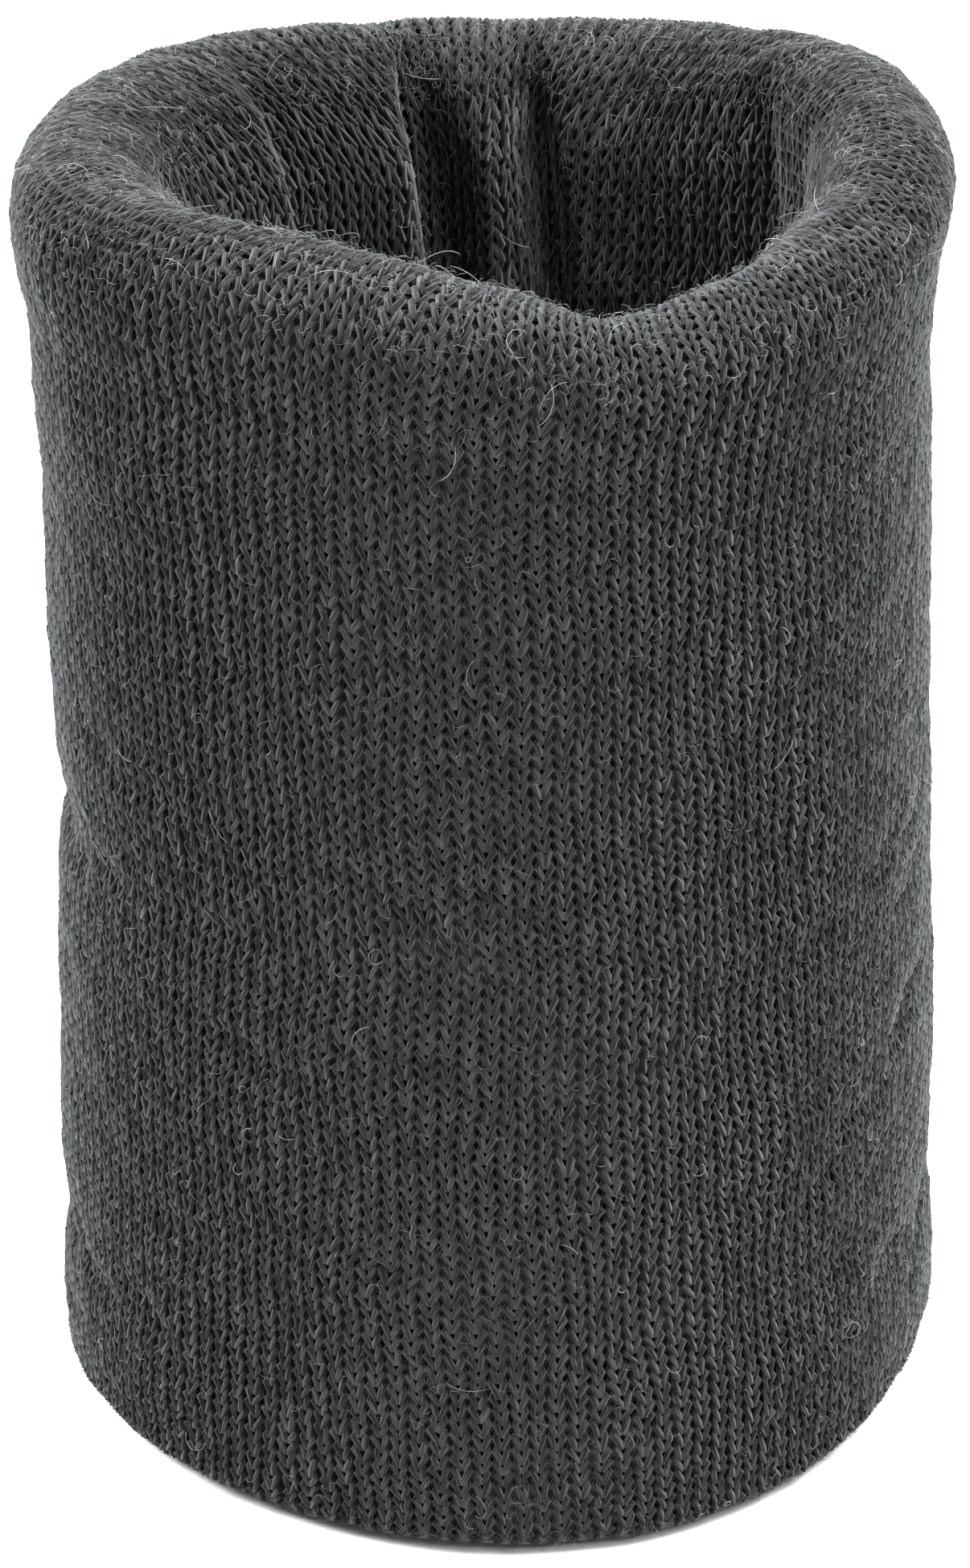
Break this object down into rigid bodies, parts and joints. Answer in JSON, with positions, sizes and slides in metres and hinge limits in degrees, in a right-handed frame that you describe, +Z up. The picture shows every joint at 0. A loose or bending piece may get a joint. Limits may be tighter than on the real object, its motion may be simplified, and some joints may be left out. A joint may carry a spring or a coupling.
{
  "type": "sweat wristband",
  "caption": "Double-walled knitted wristband with a looped back, a soft rolled rim and a flat-pressed lower edge, standing upright.",
  "frame": {"origin": "middle of the band's box, on the flat underside that it stands on", "axes": "+Z up the band, the way the hand goes in; -Y is the side that faces the viewer of the reference picture"},
  "size_m": [0.0552, 0.0542, 0.0816],
  "materials": {
    "charcoal_knit": "plain knit, slightly fuzzy",
    "lining_knit": "plain knit, slightly fuzzy",
    "loop_pile": "looped pile",
    "sewing_thread": "twisted polyester thread",
    "elastic_yarn": "covered elastic yarn"
  },
  "bodies": {
    "root": {"outer_wall": "charcoal_knit", "top_fold": "charcoal_knit", "lining_wall": "lining_knit", "lining_hem": "lining_knit", "bottom_fold": "charcoal_knit", "outer_pile": "loop_pile", "lining_pile": "loop_pile", "lining_hem_pile": "loop_pile", "seam_allowance": "lining_knit", "seam_thread": "sewing_thread", "outer_elastic": "elastic_yarn", "lining_elastic": "elastic_yarn"}
  },
  "joints": []
}
